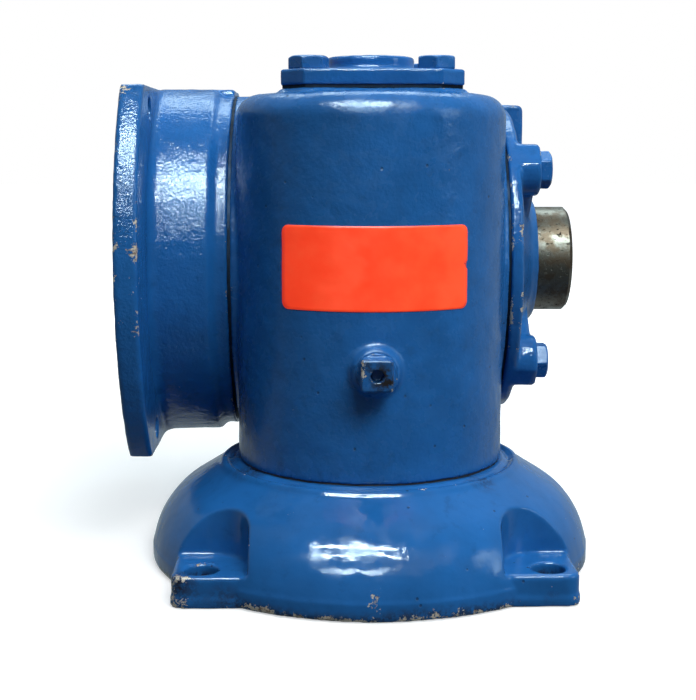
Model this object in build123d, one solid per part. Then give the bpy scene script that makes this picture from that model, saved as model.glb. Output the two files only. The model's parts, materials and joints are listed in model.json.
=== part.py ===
"""Right-angle worm gearbox: vertical worm, horizontal hollow output, dome base.

Frame: millimetres, +Z up. The origin is on the mounting face of the base, on the worm axis.
+X runs along the output axis towards the bare end of the hollow shaft, and the output axis
lies behind the worm axis, at +Y.
"""
from build123d import *
from math import acos, atan, cos, degrees, pi, radians, sin, sqrt, tan
import os

INCH = 25.4

# Gear pair: right-hand single-start worm about Z, bronze wheel about X.
CENTRE_DISTANCE = 66.7
WHEEL_Z = 124.7
WHEEL_TEETH = 30
WORM_PITCH_R = 18.0
ADDENDUM = 3.0
DEDENDUM = 3.6
FLANK_ANGLE = 20.0
FLANK_CLEARANCE = 0.8
WHEEL_FACE = 26.0
WORM_LENGTH = 64.0
WHEEL_PITCH_R = CENTRE_DISTANCE - WORM_PITCH_R
AXIAL_PITCH = 2 * pi * WHEEL_PITCH_R / WHEEL_TEETH
RIM_SEAT_R = 41.0

# Housing casting.
BODY_R = 57.8
BODY_BOTTOM = 43.8
BODY_TOP = 200.0
BODY_EDGE_R = 10.0
CHAMBER_R = BODY_TOP - WHEEL_Z
WALL = 10.0
HOUSING_SPLIT_Z = 70.5
BORE_SIDE_R = 52.6
LEFT_PAD_X = 60.3
LEFT_PAD_R = 79.0
LEFT_PAD_TOP = 201.3
RIGHT_PAD_X = 60.3
RIGHT_PAD_R = 72.0
TOP_PAD_Z = 201.7
LUG_LOW = (46.0, 115.5, 178.4)
LUG_HIGH = (82.9, 126.5, 199.8)

# Dome base with four bolt feet.
BASE_TOP = 43.0
BASE_RING_R = 65.0
BASE_RIM_R = 96.2
LEDGE_OUTER_R = 63.2
LEDGE_INNER_R = 59.8
LEDGE_Z = 41.8
FOOT_HALF_X = 80.6
FOOT_HALF_Y = 79.0
FOOT_CORNER_R = 6.0
PARTING_Z = 3.6
RIM_BAND_Z = 7.2
FOOT_THICKNESS = 12.6
FOOT_PITCH = 138.0
FOOT_HOLE_R = 6.75
POCKET_R = 19.0
BELL_R = 70.0
BELL_TOP = 34.0
BASE_SCREW_AT = 49.0
BASE_SCREW_HOLE_R = 4.2
DOME_ARC_R = 36.4
DOME_ARC_Z = 2.2
DOME_ARC_TURN = 55.0

# Output side: hollow shaft, bearings, seals, cover and flange adapter.
SHAFT_R = 25.0
SHAFT_LEFT = -80.0
SHAFT_RIGHT = 97.0
SHAFT_BORE_R = 36.5 / 2
KEYWAY_W = 9.5
KEYWAY_DEPTH = 3.4
OUTPUT_BEARING = (SHAFT_R, 40.0, 20.0)
OUTPUT_BEARING_X = 46.0
HUB_HALF = 22.0
SHIM = 1.2
COVER_R = 71.5
COVER_X = RIGHT_PAD_X + SHIM
COVER_RIM_T = 5.7
COVER_BOSS_X = 76.6
COVER_HUB_R = 29.3
COVER_HUB_X = 80.3
COVER_BOSS_R = 11.6
RIB_W = 15.0
COVER_BOLT_R = 61.3
OUTPUT_SEAL_R = 31.0
OUTPUT_SEAL_X = 68.0
OUTPUT_SEAL_W = 7.0
NOSE_BORE_R = 25.6
DRUM_R = 82.4
DRUM_END_R = 82.0
DRUM_FLAT = 79.9
DRUM_INNER_R = 72.0
NECK_R = 79.7
FLANGE_R = 9.0 * INCH / 2
FLANGE_FLAT = 79.3
FLANGE_X = 104.7
FLANGE_T = 10.0
FLANGE_PILOT_R = 76.2
FLANGE_PILOT_DEPTH = 4.0
FLANGE_HOLE_R = 4.5
FLANGE_HOLE_Y = 127.0 / 2
FLANGE_HOLE_Z = 140.0 / 2

# Worm side: shaft, bearings, top cover.
WORM_BOTTOM = 20.0
WORM_TOP = 202.0
QUILL_R = 20.0
QUILL_BORE_R = 0.875 * INCH / 2
QUILL_DEPTH = 50.0
UPPER_SEAT_R = 12.5
UPPER_BEARING = (UPPER_SEAT_R, 26.0, 16.0)
UPPER_BEARING_Z = 179.0
LOWER_BEARING = (QUILL_R, 40.0, 18.0)
LOWER_BEARING_Z = 45.0
INPUT_SEAL_R = 31.0
TOP_COVER_HALF = 37.4
TOP_COVER_CHAMFER = 9.5
TOP_COVER_Z = 203.0
TOP_COVER_T = 6.4
TOP_BOSS_R = 18.6
TOP_BOSS_Z = 215.8
TOP_BOLT_XY = 26.0

# Fasteners, plugs and clearances.
BOLT_AF = 9 / 16 * INCH + 0.5  # including a quarter millimetre of enamel on each flat
BOLT_HEAD_H = 5.4
BOLT_R = 4.6
BOLT_HOLE_R = 4.8
RUNNING_GAP = 0.08
ROLLER_FIT = 0.03
PLUG_THREAD_R = 6.6
PLUG_HOLE_R = 6.8
PLUG_SOCKET_R = 2.95
PLUG_X = 0.6
PLUG_Z = 90.1
PLUG_BOSS_R = 8.8
PLUG_BOSS_Y = 61.6
PLUG_SQUARE = 12.7
PLUG_HEAD = 8.4
DRAIN_Z = 74.0
DRAIN_BOSS_Y = 131.0
VENT_Y = 92.0
VENT_BOSS_Z = BODY_TOP + 3
STICKER_HALF_ANGLE = 40.3
STICKER_Z = (113.8, 147.6)

WHEEL_AXIS = Pos(0, CENTRE_DISTANCE, WHEEL_Z)
ABOUT_X = Rot(0, 90, 0)


def ring_z(outer, inner, low, high):
    """Plain ring about Z; inner 0 gives a disc."""
    body = Pos(0, 0, (low + high) / 2) * Cylinder(outer, high - low)
    if inner > 0:
        body -= Pos(0, 0, (low + high) / 2) * Cylinder(inner, high - low + 1)
    return body


def ring_x(outer, inner, low, high):
    """Plain ring about the output axis, between two X positions."""
    return WHEEL_AXIS * ABOUT_X * ring_z(outer, inner, low, high)


def turn_z(*outline):
    """Solid of revolution about Z from (radius, height) points."""
    profile = make_face(Polyline(*outline, close=True))
    return revolve(Plane.XZ * profile, Axis.Z)


def turn_x(*outline):
    """Solid of revolution about the output axis from (x, radius) points."""
    profile = make_face(Polyline(*outline, close=True))
    return WHEEL_AXIS * revolve(Plane.XZ * profile, Axis.X)


def four_corners(half_a, half_b):
    """The four corners of a rectangle as (a, b) pairs."""
    return [(sa * half_a, sb * half_b) for sa in (-1, 1) for sb in (-1, 1)]


def cover_bolt_places():
    """Bolt positions of the side covers, as Y and Z offsets from the output axis."""
    half = COVER_BOLT_R * cos(radians(45))
    return four_corners(half, half)


def hex_bolt(length, head_h=BOLT_HEAD_H):
    """Hex-head bolt along -Z, underside of its head at the origin."""
    corner_r = BOLT_AF / 2 / cos(radians(30))
    head = extrude(RegularPolygon(corner_r, 6), head_h)
    crown = Pos(0, 0, head_h / 2) * Cylinder(corner_r, head_h)
    crown = chamfer(crown.edges().sort_by(Axis.Z)[-1], 1.0, 1.7)
    shank = Pos(0, 0, -length / 2) * Cylinder(BOLT_R, length)
    return (head & crown) + shank


def square_plug(shank, square=PLUG_SQUARE, head=PLUG_HEAD):
    """Square-head pipe plug with a hexagon socket, its head along +Z from the origin."""
    block = Pos(0, 0, head / 2) * Box(square, square, head)
    block = fillet(block.edges().filter_by(Axis.Z), 1.2)
    block = chamfer(block.faces().sort_by(Axis.Z)[-1].edges(), 0.6)
    collar = Pos(0, 0, 0.75) * Cylinder(square / 2 + 1.6, 1.5)
    thread = Pos(0, 0, -shank / 2) * Cylinder(PLUG_THREAD_R, shank)
    socket = Pos(0, 0, head - 6.5) * extrude(RegularPolygon(PLUG_SOCKET_R, 6), 8)
    return block + collar + thread - socket


def socket_screw(length):
    """Socket-head screw along +Z, its head below the origin."""
    head = Pos(0, 0, -3.5) * Cylinder(6.2, 7)
    shank = Pos(0, 0, length / 2) * Cylinder(3.8, length)
    socket = Pos(0, 0, -7) * extrude(RegularPolygon(3.4, 6), 4)
    return head + shank - socket


def tapered_bearing(bore_r, outer_r, width):
    """Cup, cone, rollers and cage of a tapered roller bearing about Z.

    The bearing fills z = 0 to width and its rollers are largest at the top.
    """
    tilt = radians(12.5)
    mean_r = (bore_r + outer_r) / 2
    roller_r = (outer_r - bore_r) * 0.215
    spread = atan(roller_r * sin(tilt) / mean_r)
    half = width * 0.31
    mid = width / 2

    def raceway(sign, gap, z):
        """Radius of the cup (+1) or cone (-1) raceway at height z."""
        angle = tilt + sign * spread
        start_r = mean_r + sign * roller_r * cos(tilt) + sign * gap
        start_z = mid - sign * roller_r * sin(tilt)
        return start_r + (z - start_z) * tan(angle)

    cup = turn_z((raceway(1, RUNNING_GAP, 0.6), 0.6), (outer_r, 0.6), (outer_r, width - 1),
                 (raceway(1, RUNNING_GAP, width - 1), width - 1))
    lip = roller_r * 0.45
    end_gap = roller_r * sin(tilt) + 0.2
    low_z, high_z = mid - half - end_gap, mid + half + end_gap
    low_r, high_r = raceway(-1, ROLLER_FIT, low_z), raceway(-1, ROLLER_FIT, high_z)
    cone = turn_z((bore_r, 1), (low_r + lip, 1), (low_r + lip, low_z - 0.6), (low_r, low_z),
                  (high_r, high_z), (high_r + lip, high_z + 0.6), (high_r + lip, width), (bore_r, width))
    slope = tan(spread)

    def roller(extra):
        """One roller about its own axis, grown by extra for its cage pocket."""
        small_r = roller_r - half * slope + extra
        large_r = roller_r + half * slope + extra
        body = Cone(small_r, large_r, 2 * half + 2 * extra)
        return Pos(mean_r, 0, mid) * Rot(0, degrees(tilt), 0) * body

    count = int(2 * pi * mean_r / (2.6 * roller_r))
    places = [Rot(0, 0, 360 / count * i) for i in range(count)]
    rollers = Compound([place * roller(-ROLLER_FIT) for place in places])
    shell = roller_r * 0.3

    def cage_r(z, side):
        return mean_r + (z - mid) * tan(tilt) + side * shell

    cage_low, cage_high = mid - half - 1.2, mid + half + 1.2
    cage = turn_z((cage_r(cage_low, -1) + 0.4, cage_low), (cage_r(cage_low, 1), cage_low),
                  (cage_r(cage_high, 1), cage_high), (cage_r(cage_high, -1) + 0.4, cage_high))
    for place in places:
        cage -= place * roller(0.2)
    return cup, cone, rollers, cage


def lip_seal(shaft_r, outer_r, width):
    """Rotary shaft seal about Z from z = 0 to width: case with its sealing lip."""
    inner = shaft_r + RUNNING_GAP
    return turn_z((inner, width * 0.35), (inner + 1.2, 0), (outer_r, 0), (outer_r, width),
                  (inner + 3.0, width), (inner + 3.0, width - 1.4), (outer_r - 1.6, width - 1.4),
                  (outer_r - 1.6, 1.6), (inner + 2.6, 1.6), (inner + 0.9, width * 0.55))


# ---------------------------------------------------------------- housing

def rounded_end(low, high, radius):
    """Outline from the axis to a rounded outer corner, as (radius, height) edges."""
    corner = BODY_EDGE_R
    bend = corner * cos(radians(45))
    arc_mid = (radius - corner + bend, high - corner + bend)
    return make_face([
        Line((0, low), (radius, low)),
        Line((radius, low), (radius, high - corner)),
        ThreePointArc((radius, high - corner), arc_mid, (radius - corner, high)),
        Line((radius - corner, high), (0, high)),
        Line((0, high), (0, low)),
    ])


def housing_outside():
    """Half-round front about the worm, flat sides and a round wheel chamber behind."""
    front = revolve(Plane.XZ * rounded_end(BODY_BOTTOM, BODY_TOP, BODY_R), Axis.Z)
    half = rounded_end(WHEEL_Z - CHAMBER_R, BODY_TOP, BODY_R)
    middle = extrude(Plane.XZ * (half + mirror(half, Plane.YZ)), -CENTRE_DISTANCE)
    barrel = revolve(Plane.XZ * rounded_end(-BODY_R + BODY_EDGE_R, BODY_R, CHAMBER_R), Axis.Z)
    barrel += mirror(barrel, Plane.XY)
    return front + middle + WHEEL_AXIS * ABOUT_X * barrel


def block_between(low, high):
    """Box between two opposite corners."""
    size = [b - a for a, b in zip(low, high)]
    middle = [(a + b) / 2 for a, b in zip(low, high)]
    return Pos(*middle) * Box(*size)


def housing_pads():
    """Machined pads: left and right round ones, the square top one, plug bosses and a rear lug."""
    left = ring_x(LEFT_PAD_R, 0, -LEFT_PAD_X, -50)
    left &= Pos(0, CENTRE_DISTANCE, 0) * Box(200, 200, 2 * LEFT_PAD_TOP)
    right = ring_x(RIGHT_PAD_R, 0, 50, RIGHT_PAD_X)
    top = extrude(square_outline(TOP_COVER_HALF + 0.6, TOP_COVER_CHAMFER), TOP_PAD_Z - BODY_TOP + 12)
    top = Pos(0, 0, BODY_TOP - 12) * top
    boss_cone = Pos(0, 0, 4) * Cone(PLUG_BOSS_R, PLUG_BOSS_R + 4, 8)
    front_boss = Pos(PLUG_X, -PLUG_BOSS_Y, PLUG_Z) * Rot(-90, 0, 0) * boss_cone
    rear_boss = Pos(0, DRAIN_BOSS_Y, DRAIN_Z) * Rot(90, 0, 0) * Pos(0, 0, 12) * Cylinder(13, 24)
    vent_boss = Pos(0, VENT_Y, 0) * ring_z(12, 0, BODY_TOP - 12, VENT_BOSS_Z)
    lug = block_between(LUG_LOW, LUG_HIGH)
    lug = fillet(lug.edges().filter_by(Axis.Y).group_by(Axis.X)[-1].sort_by(Axis.Z)[-1], 3)
    lug += block_between((LUG_LOW[0], LUG_LOW[1], 172), (57, LUG_HIGH[1], LUG_HIGH[2]))
    return left + right + top + front_boss + rear_boss + vent_boss + lug


def square_outline(half, cut):
    """Square with cut corners."""
    return make_face(Polyline(
        (half - cut, half), (half, half - cut), (half, cut - half), (half - cut, -half),
        (cut - half, -half), (-half, cut - half), (-half, half - cut), (cut - half, half), close=True))


def housing():
    """Main casting, and apart from it the lower bearing ring that the worm passes through."""
    body = housing_outside() + housing_pads()
    low, high = BODY_BOTTOM + 25, BODY_TOP - 29
    inside = BODY_R - WALL
    body -= ring_z(inside, 0, low, high)
    body -= Pos(0, CENTRE_DISTANCE / 2, (low + high) / 2) * Box(2 * inside, CENTRE_DISTANCE, high - low)
    body -= ring_x(CHAMBER_R - WALL, 0, -inside, inside)
    body -= ring_x(BORE_SIDE_R, 0, -LEFT_PAD_X - 1, LEFT_PAD_X + 1)
    body -= ring_z(LOWER_BEARING[1], 0, BODY_BOTTOM - 1, LOWER_BEARING_Z + LOWER_BEARING[2] + 2)
    body -= ring_z(28, 0, BODY_BOTTOM, low + 1)
    body -= ring_z(UPPER_BEARING[1], 0, UPPER_BEARING_Z, TOP_PAD_Z + 1)
    body -= ring_z(UPPER_BEARING[1] - 3, 0, high - 1, UPPER_BEARING_Z + 1)
    for x, y in four_corners(TOP_BOLT_XY, TOP_BOLT_XY):
        body -= Pos(x, y, TOP_PAD_Z - 10) * Cylinder(BOLT_HOLE_R, 20.2)
    for dy, dz in cover_bolt_places():
        hole = WHEEL_AXIS * Pos(0, dy, dz) * ABOUT_X
        body -= hole * Pos(0, 0, RIGHT_PAD_X - 8) * Cylinder(BOLT_HOLE_R, 16.2)
        body -= hole * Pos(0, 0, -LEFT_PAD_X + 8) * Cylinder(BOLT_HOLE_R, 16.2)
    for angle in range(0, 360, 90):
        body -= Rot(0, 0, angle) * Pos(BASE_SCREW_AT, 0, BODY_BOTTOM + 8) * Cylinder(4.0, 16.2)
    body -= Pos(PLUG_X, -PLUG_BOSS_Y + 11, PLUG_Z) * Rot(90, 0, 0) * Cylinder(PLUG_HOLE_R, 23)
    body -= Pos(0, DRAIN_BOSS_Y - 13, DRAIN_Z) * Rot(90, 0, 0) * Cylinder(PLUG_HOLE_R, 27)
    body -= Pos(0, VENT_Y, BODY_TOP - 8) * Cylinder(PLUG_HOLE_R, 23)
    foot = ring_z(BODY_R + 0.5, 0, BODY_BOTTOM - 1, HOUSING_SPLIT_Z)
    return body - foot, body & foot


# ---------------------------------------------------------------- base

def base():
    """Dome with four feet: open below, flat ring on top, bolt pockets cut into its flank."""
    arc_r = DOME_ARC_R
    centre_r, centre_z = BASE_RIM_R - arc_r, DOME_ARC_Z
    turn = radians(DOME_ARC_TURN)
    mid = (centre_r + arc_r * cos(turn / 2), centre_z + arc_r * sin(turn / 2))
    shoulder = (centre_r + arc_r * cos(turn), centre_z + arc_r * sin(turn))
    ring_edge = (BASE_RING_R + 1.4, BASE_TOP - 2.1)
    band_top = (centre_r + sqrt(arc_r ** 2 - (RIM_BAND_Z + 0.9 - centre_z) ** 2), RIM_BAND_Z + 0.9)
    lip = (BASE_RING_R - 1.3, BASE_TOP)
    outline = [
        Polyline((0, 0), (BASE_RIM_R - 0.8, 0), (BASE_RIM_R, 1.0), (BASE_RIM_R, RIM_BAND_Z), band_top),
        ThreePointArc(band_top, mid, shoulder),
        Line(shoulder, ring_edge),
        ThreePointArc(ring_edge, (BASE_RING_R + 0.5, BASE_TOP - 0.6), lip),
        Polyline(lip, (LEDGE_OUTER_R, BASE_TOP), (LEDGE_OUTER_R - 0.5, LEDGE_Z),
                 (LEDGE_INNER_R + 0.4, LEDGE_Z), (LEDGE_INNER_R, BASE_TOP), (0, BASE_TOP), (0, 0)),
    ]
    dome = revolve(Plane.XZ * make_face(outline), Axis.Z)
    for sx, sy in four_corners(1, 1):
        near, far = FOOT_PITCH / 2 - POCKET_R, 140
        bend = FOOT_PITCH / 2 - POCKET_R * cos(radians(45))
        hole = FOOT_PITCH / 2
        pocket = make_face([
            Line((near * sx, far * sy), (near * sx, hole * sy)),
            ThreePointArc((near * sx, hole * sy), (bend * sx, bend * sy), (hole * sx, near * sy)),
            Line((hole * sx, near * sy), (far * sx, near * sy)),
            Line((far * sx, near * sy), (far * sx, far * sy)),
            Line((far * sx, far * sy), (near * sx, far * sy)),
        ])
        dome -= Pos(0, 0, FOOT_THICKNESS) * extrude(pocket, 60, dir=(0, 0, 1))
    plate = foot_plate(0, FOOT_THICKNESS)
    plate = fillet(plate.faces().sort_by(Axis.Z)[-1].edges(), 1.8) + foot_plate(0.45, PARTING_Z)
    body = dome + plate
    for x, y in four_corners(FOOT_PITCH / 2, FOOT_PITCH / 2):
        body -= Pos(x, y, 5) * Cylinder(FOOT_HOLE_R, 40)
    body -= turn_z((0, -1), (84, -1), (84, 4), (BELL_R, 8), (BELL_R, 20), (60, BELL_TOP), (0, BELL_TOP))
    body -= ring_z(INPUT_SEAL_R, 0, BELL_TOP + 2, BASE_TOP + 1)
    body -= ring_z(INPUT_SEAL_R - 4, 0, BELL_TOP - 1, BELL_TOP + 3)
    for angle in range(0, 360, 90):
        body -= Rot(0, 0, angle) * Pos(BASE_SCREW_AT, 0, BELL_TOP) * Cylinder(BASE_SCREW_HOLE_R, 30)
    return body


def foot_plate(grow, height):
    """Square plate whose four corners are the feet."""
    outline = RectangleRounded(2 * (FOOT_HALF_X + grow), 2 * (FOOT_HALF_Y + grow), FOOT_CORNER_R)
    return extrude(outline, height)


def base_gasket():
    """Paper ring between the base and the housing."""
    gasket = ring_z(BODY_R - 0.8, LOWER_BEARING[1] + 0.5, BASE_TOP, BODY_BOTTOM)
    for angle in range(0, 360, 90):
        gasket -= Rot(0, 0, angle) * Pos(BASE_SCREW_AT, 0, BASE_TOP) * Cylinder(BASE_SCREW_HOLE_R, 5)
    return gasket


def base_screws():
    """Four screws from inside the bell up into the housing."""
    screw = Pos(BASE_SCREW_AT, 0, BELL_TOP) * socket_screw(24)
    return Compound([Rot(0, 0, angle) * screw for angle in range(0, 360, 90)])


# ---------------------------------------------------------------- output side castings

def output_flange():
    """Left adapter: spigot and bearing seat, ribbed neck, tapered drum and bolting flange."""
    face = -LEFT_PAD_X - SHIM
    drum_start = -FLANGE_X + FLANGE_T
    neck_out = face - 7.0
    shell = turn_x(
        (-FLANGE_X, 0), (-FLANGE_X, FLANGE_R - 1.0), (-FLANGE_X + 1.0, FLANGE_R),
        (drum_start - 0.8, FLANGE_R), (drum_start, FLANGE_R - 0.8), (drum_start, DRUM_R + 3.2),
        (drum_start + 1.0, DRUM_R + 1.0), (drum_start + 3.4, DRUM_R),
        (neck_out - 1.6, DRUM_END_R), (neck_out - 0.4, DRUM_END_R - 0.7), (neck_out + 0.8, NECK_R + 0.2),
        (neck_out + 2.4, NECK_R - 0.5), (face - 1.6, NECK_R - 0.5), (face - 0.8, NECK_R - 0.1),
        (face, NECK_R - 0.4), (face, BORE_SIDE_R - 0.05),
        (-50, BORE_SIDE_R - 0.05), (-50, 0))
    flats = WHEEL_AXIS * Box(2 * FLANGE_X + 10, 2 * FLANGE_R + 10, 2 * FLANGE_FLAT)
    drum_zone = ring_x(DRUM_R + 0.05, 0, drum_start, -40)
    drum_zone &= WHEEL_AXIS * Pos(0, 0, DRUM_FLAT - 150) * Box(300, 300, 300)
    shell = (shell & flats) + (shell & drum_zone)
    boss = WHEEL_AXIS * Pos((neck_out - 3 + face) / 2, 0, DRUM_FLAT - 6) * Box(face - neck_out + 3, 34, 12)
    boss &= ring_x(DRUM_END_R, 0, -90, face)
    shell += boss
    web = -LEFT_PAD_X - 10.5
    shell -= ring_x(DRUM_INNER_R, 0, -FLANGE_X - 1, web)
    shell -= ring_x(FLANGE_PILOT_R, 0, -FLANGE_X - 1, -FLANGE_X + FLANGE_PILOT_DEPTH)
    shell += ring_x(OUTPUT_SEAL_R + 7, 0, -COVER_HUB_X, web + 1)
    shell -= ring_x(OUTPUT_SEAL_R, 0, -FLANGE_X, -OUTPUT_SEAL_X)
    shell -= ring_x(OUTPUT_SEAL_R - 3, 0, -FLANGE_X, 0)
    shell -= ring_x(OUTPUT_BEARING[1], 0, -OUTPUT_BEARING_X - OUTPUT_BEARING[2], 0)
    for dy, dz in cover_bolt_places():
        shell -= WHEEL_AXIS * Pos(0, dy, dz) * ABOUT_X * Pos(0, 0, -80) * Cylinder(BOLT_HOLE_R, 60)
    for dy, dz in four_corners(FLANGE_HOLE_Y, FLANGE_HOLE_Z):
        shell -= WHEEL_AXIS * Pos(-FLANGE_X, dy, dz) * ABOUT_X * Cylinder(FLANGE_HOLE_R, 30)
    return shell


def output_cover():
    """Right bearing cover: thin round rim, bolt bosses, coned hub round the seal."""
    rim_out = COVER_X + COVER_RIM_T
    body = turn_x(
        (50, 0), (50, BORE_SIDE_R - 0.05), (COVER_X, BORE_SIDE_R - 0.05), (COVER_X, COVER_R),
        (rim_out - 1.2, COVER_R), (rim_out, COVER_R - 1.4), (rim_out, 53), (rim_out + 1.2, 49.5),
        (COVER_HUB_X - 4.2, COVER_HUB_R + 3.2), (COVER_HUB_X - 2.2, COVER_HUB_R + 0.8),
        (COVER_HUB_X - 0.9, COVER_HUB_R), (COVER_HUB_X, COVER_HUB_R - 1.0), (COVER_HUB_X, 0))
    for dy, dz in cover_bolt_places():
        boss = ring_z(COVER_BOSS_R, 0, COVER_X, COVER_BOSS_X)
        boss = fillet(boss.edges().sort_by(Axis.Z)[-1], 1.2)
        body += WHEEL_AXIS * Pos(0, dy, dz) * ABOUT_X * boss
        angle = degrees(acos(dy / COVER_BOLT_R)) * (1 if dz > 0 else -1)
        rib_top = COVER_BOSS_X - 1.4
        rib = Box(rib_top - COVER_X, COVER_BOLT_R - 28, RIB_W)
        rib = chamfer(rib.faces().sort_by(Axis.X)[-1].edges().filter_by(Axis.Y), 2.4)
        body += WHEEL_AXIS * Rot(angle, 0, 0) * Pos((rib_top + COVER_X) / 2, (COVER_BOLT_R + 28) / 2, 0) * rib
    body &= ring_x(COVER_R, 0, 40, COVER_HUB_X)
    body -= ring_x(OUTPUT_SEAL_R, 0, 0, OUTPUT_SEAL_X + OUTPUT_SEAL_W)
    body -= ring_x(NOSE_BORE_R, 0, 0, COVER_HUB_X + 1)
    body -= ring_x(OUTPUT_BEARING[1], 0, 0, OUTPUT_BEARING_X + OUTPUT_BEARING[2])
    for dy, dz in cover_bolt_places():
        body -= WHEEL_AXIS * Pos(0, dy, dz) * ABOUT_X * Pos(0, 0, 70) * Cylinder(BOLT_HOLE_R, 40)
    return body


def side_shims(outer, low, high):
    """Shim pack between a side pad and its cover."""
    pack = ring_x(outer, BORE_SIDE_R + 0.4, low, high)
    for dy, dz in cover_bolt_places():
        pack -= WHEEL_AXIS * Pos(0, dy, dz) * ABOUT_X * Cylinder(BOLT_HOLE_R + 0.4, 200)
    return pack


def side_bolts(seat_x, length):
    """Four hex bolts whose heads sit at seat_x on the output axis; negative X for the left side."""
    turn = ABOUT_X if seat_x > 0 else Rot(0, -90, 0)
    spins = (32, 2, 14, 49)
    return Compound([WHEEL_AXIS * Pos(seat_x, dy, dz) * turn * Rot(0, 0, spin) * hex_bolt(length)
                     for spin, (dy, dz) in zip(spins, cover_bolt_places())])


# ---------------------------------------------------------------- worm cover on top

def worm_cover():
    """Square cover with cut corners, a round boss on top and a pilot that holds the upper cup."""
    plate = extrude(square_outline(TOP_COVER_HALF, TOP_COVER_CHAMFER), TOP_COVER_T)
    plate = fillet(plate.faces().sort_by(Axis.Z)[-1].edges(), 1.0)
    body = Pos(0, 0, TOP_COVER_Z) * plate
    boss = ring_z(TOP_BOSS_R, 0, TOP_COVER_Z, TOP_BOSS_Z)
    boss = fillet(boss.edges().sort_by(Axis.Z)[-1], 1.4)
    plate_top = TOP_COVER_Z + TOP_COVER_T
    body += boss + Pos(0, 0, plate_top + 0.9) * Cone(TOP_BOSS_R + 2.2, TOP_BOSS_R, 1.8)
    body += ring_z(UPPER_BEARING[1] - 0.05, 21.5, UPPER_BEARING_Z + UPPER_BEARING[2] - 1, TOP_COVER_Z + 1)
    body -= ring_z(16, 0, TOP_COVER_Z - 1, TOP_BOSS_Z - 5)
    for x, y in four_corners(TOP_BOLT_XY, TOP_BOLT_XY):
        body -= Pos(x, y, TOP_COVER_Z) * Cylinder(BOLT_HOLE_R, 20)
    return body


def worm_cover_shims():
    """Shims between the housing pad and the worm cover."""
    shims = extrude(square_outline(TOP_COVER_HALF - 0.6, TOP_COVER_CHAMFER), TOP_COVER_Z - TOP_PAD_Z)
    shims = Pos(0, 0, TOP_PAD_Z) * shims - ring_z(UPPER_BEARING[1] + 0.4, 0, TOP_PAD_Z - 1, TOP_COVER_Z + 1)
    for x, y in four_corners(TOP_BOLT_XY, TOP_BOLT_XY):
        shims -= Pos(x, y, TOP_PAD_Z) * Cylinder(BOLT_HOLE_R + 0.3, 10)
    return shims


def worm_cover_bolts():
    """Four hex bolts through the corners of the worm cover."""
    seat = TOP_COVER_Z + TOP_COVER_T
    return Compound([Pos(x, y, seat) * Rot(0, 0, 12 + 7 * i) * hex_bolt(24)
                     for i, (x, y) in enumerate(four_corners(TOP_BOLT_XY, TOP_BOLT_XY))])


# ---------------------------------------------------------------- gear pair and shafts

def thread_half_angle(radius):
    """Half the angle that the worm thread takes up in a cross-section at this radius."""
    thickness = AXIAL_PITCH / 2 - FLANK_CLEARANCE
    thickness -= 2 * (radius - WORM_PITCH_R) * tan(radians(FLANK_ANGLE))
    return 180 * thickness / AXIAL_PITCH


def polar(radius, angle):
    """Point at this radius and angle in degrees."""
    return (radius * cos(radians(angle)), radius * sin(radians(angle)))


def worm_thread():
    """Single-start thread, made by twisting its cross-section along the axis."""
    tip_r, root_r = WORM_PITCH_R + ADDENDUM, WORM_PITCH_R - DEDENDUM
    low = WHEEL_Z - WORM_LENGTH / 2
    phase = 90 - (WHEEL_Z - low) / AXIAL_PITCH * 360
    steps = [root_r + (tip_r - root_r) * i / 5 for i in range(6)]
    rising = [polar(r, phase - thread_half_angle(r)) for r in steps]
    falling = [polar(r, phase + thread_half_angle(r)) for r in reversed(steps)]
    section = make_face([
        Spline(*rising),
        ThreePointArc(rising[-1], polar(tip_r, phase), falling[0]),
        Spline(*falling),
        ThreePointArc(falling[-1], polar(root_r, phase + 180), rising[0]),
    ])
    twist = WORM_LENGTH / AXIAL_PITCH * 360
    thread = Solid.extrude_linear_with_rotation(section.face(), (0, 0, 0), (0, 0, WORM_LENGTH), twist)
    return Pos(0, 0, low) * thread


def worm_shaft():
    """Worm on one shaft with its hollow input quill below and a bearing seat above."""
    low, high = WHEEL_Z - WORM_LENGTH / 2, WHEEL_Z + WORM_LENGTH / 2
    lower_top = LOWER_BEARING_Z + LOWER_BEARING[2]
    root_r = WORM_PITCH_R - DEDENDUM
    lower = turn_z(
        (0, WORM_BOTTOM), (QUILL_R - 1, WORM_BOTTOM), (QUILL_R, WORM_BOTTOM + 1), (QUILL_R, lower_top),
        (QUILL_R + 4, lower_top), (QUILL_R + 4, lower_top + 4), (QUILL_R, lower_top + 6),
        (QUILL_R, 78), (root_r, low + 0.01), (0, low + 0.01))
    upper = turn_z(
        (0, high - 0.01), (root_r, high - 0.01), (root_r + 1, high + 3), (root_r + 1, UPPER_BEARING_Z - 0.5),
        (UPPER_SEAT_R, UPPER_BEARING_Z + 1), (UPPER_SEAT_R, WORM_TOP - 1), (UPPER_SEAT_R - 1, WORM_TOP),
        (0, WORM_TOP))
    shaft = lower + worm_thread() + upper
    shaft -= ring_z(QUILL_BORE_R, 0, WORM_BOTTOM - 1, WORM_BOTTOM + QUILL_DEPTH)
    keyway = Pos(QUILL_BORE_R, 0, WORM_BOTTOM + 20) * Box(4.8, 4.8, 42)
    return shaft - keyway


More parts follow.
